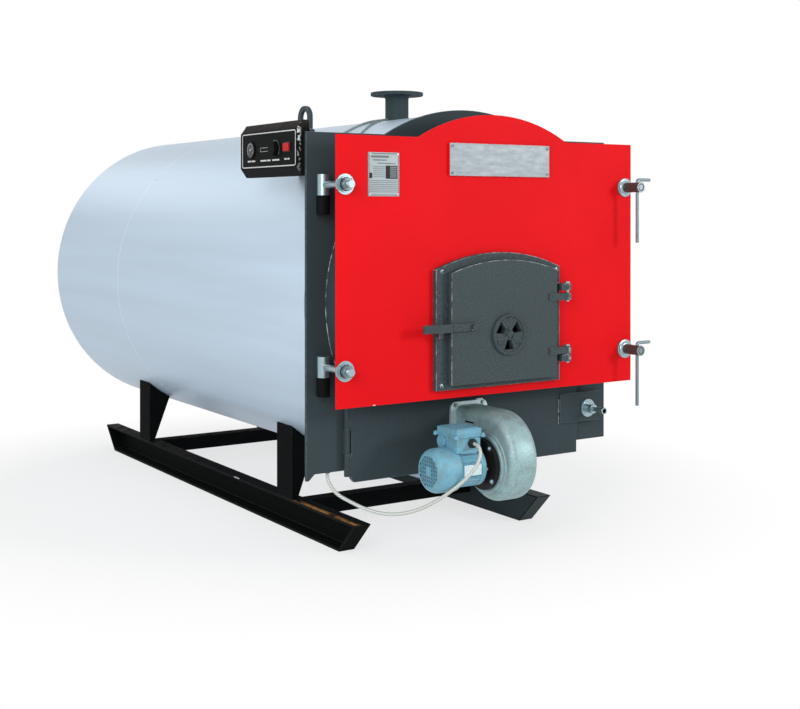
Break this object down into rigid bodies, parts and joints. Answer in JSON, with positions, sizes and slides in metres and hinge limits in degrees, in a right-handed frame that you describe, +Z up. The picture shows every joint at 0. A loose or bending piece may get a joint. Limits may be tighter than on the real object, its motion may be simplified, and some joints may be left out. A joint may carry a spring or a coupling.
{
  "type": "boiler",
  "caption": "Horizontal solid-fuel boiler on a skid: clad barrel, hinged red front door with cast fuel door, ash door carrying a fan, control box and flanged supply pipe.",
  "frame": {"origin": "on the floor, on the boiler's mid-plane, under the front plate's front face", "axes": "+X to the right seen from the front, +Y from the front to the back, +Z up; the doors face -Y"},
  "size_m": [1.339, 3.0119, 1.622],
  "materials": {
    "dark_paint": "slate-grey heat-resistant paint, lightly grained",
    "skid_paint": "near-black paint, dusty and rusted at the edges",
    "red_paint": "bright red enamel, chipped at the edges",
    "cladding_sheet": "smooth pale sheet with a seam",
    "cast_iron": "grainy casting, rims worn bright",
    "zinc_steel": "zinc-plated hardware",
    "plate_aluminium": "bare plate",
    "refractory": "cast insulating lining",
    "fan_casting": "rough sand casting",
    "motor_paint": "light blue-grey enamel",
    "cover_plastic": "black moulding",
    "conduit_braid": "pale braided sleeve",
    "box_paint": "black powder coat, chipped at a corner",
    "gauge_face": "pale dial behind a clear lens",
    "switch_red": "red rocker"
  },
  "bodies": {
    "boiler_shell": {"front_plate": "dark_paint", "smoke_box_ring": "dark_paint", "tube_plate": "dark_paint", "rear_tube_plate": "dark_paint", "fire_tubes": "dark_paint", "furnace": "dark_paint", "grate": "cast_iron", "barrel_cladding_front": "cladding_sheet", "barrel_cladding_rear": "cladding_sheet", "rear_end_plate": "dark_paint", "flue_collar": "dark_paint", "return_stub": "dark_paint", "supply_pipe": "dark_paint", "supply_flange": "dark_paint", "lifting_lug": "dark_paint", "runner_left": "skid_paint", "runner_right": "skid_paint", "cross_beams": "skid_paint", "legs_front": "skid_paint", "legs_rear": "skid_paint", "hinge_pintles": "dark_paint", "clamp_studs": "zinc_steel", "ash_hinge_bracket": "dark_paint", "conduit_gland": "cover_plastic", "control_box": "box_paint", "control_panel": "box_paint", "thermometer": "gauge_face", "rocker_switch": "switch_red", "capillary_tubes": "zinc_steel"},
    "main_door": {"main_door_panel": "red_paint", "door_lining": "refractory", "hinge_eyebolts": "zinc_steel", "maker_plate_box": "red_paint", "maker_plate": "plate_aluminium", "rating_plate": "plate_aluminium", "fuel_door_frame": "cast_iron", "fuel_hinge_pins": "zinc_steel"},
    "clamp_upper": {"clamp_nut_upper": "zinc_steel", "clamp_bar_upper": "zinc_steel"},
    "clamp_lower": {"clamp_nut_lower": "zinc_steel", "clamp_bar_lower": "zinc_steel"},
    "fuel_door": {"fuel_door_leaf": "cast_iron"},
    "fuel_latch": {"latch_lever": "cast_iron"},
    "air_damper": {"air_damper": "cast_iron"},
    "ash_door": {"ash_door_panel": "dark_paint", "ash_clamp_nut": "zinc_steel", "fan_flange": "fan_casting", "fan_volute": "fan_casting", "motor_flange": "dark_paint", "fan_motor": "motor_paint", "motor_cover": "cover_plastic", "terminal_box": "motor_paint", "motor_gland": "cover_plastic", "conduit": "conduit_braid"},
    "thermostat": {"thermostat_knob": "cover_plastic"}
  },
  "joints": [
    {"name": "main_door_hinge", "type": "hinge", "parent": "boiler_shell", "child": "main_door", "pos_m": [-0.595, -0.028, 0.96], "axis": [0, 0, -1], "range_deg": [0, 95]},
    {"name": "ash_door_hinge", "type": "hinge", "parent": "boiler_shell", "child": "ash_door", "pos_m": [-0.5, -0.018, 0.413], "axis": [0, 0, -1], "range_deg": [0, 100]},
    {"name": "fuel_door_hinge", "type": "hinge", "parent": "main_door", "child": "fuel_door", "pos_m": [0.289, -0.2, 0.78], "axis": [0, 0, 1], "range_deg": [0, 110]},
    {"name": "fuel_latch_pivot", "type": "hinge", "parent": "fuel_door", "child": "fuel_latch", "pos_m": [-0.128, -0.218, 0.78912], "axis": [0, 1, 0], "range_deg": [0, 25]},
    {"name": "air_damper_pivot", "type": "hinge", "parent": "fuel_door", "child": "air_damper", "pos_m": [0.021, -0.212, 0.75613], "axis": [0, 1, 0], "range_deg": [0, 60]},
    {"name": "clamp_upper_turn", "type": "hinge", "parent": "main_door", "child": "clamp_upper", "pos_m": [0.592, -0.2, 1.258], "axis": [0, 1, 0], "continuous": true},
    {"name": "clamp_lower_turn", "type": "hinge", "parent": "main_door", "child": "clamp_lower", "pos_m": [0.592, -0.2, 0.66912], "axis": [0, 1, 0], "continuous": true},
    {"name": "thermostat_turn", "type": "hinge", "parent": "boiler_shell", "child": "thermostat", "pos_m": [-0.68, 0.162, 1.38], "axis": [-1, 0, 0], "range_deg": [0, 270]}
  ]
}
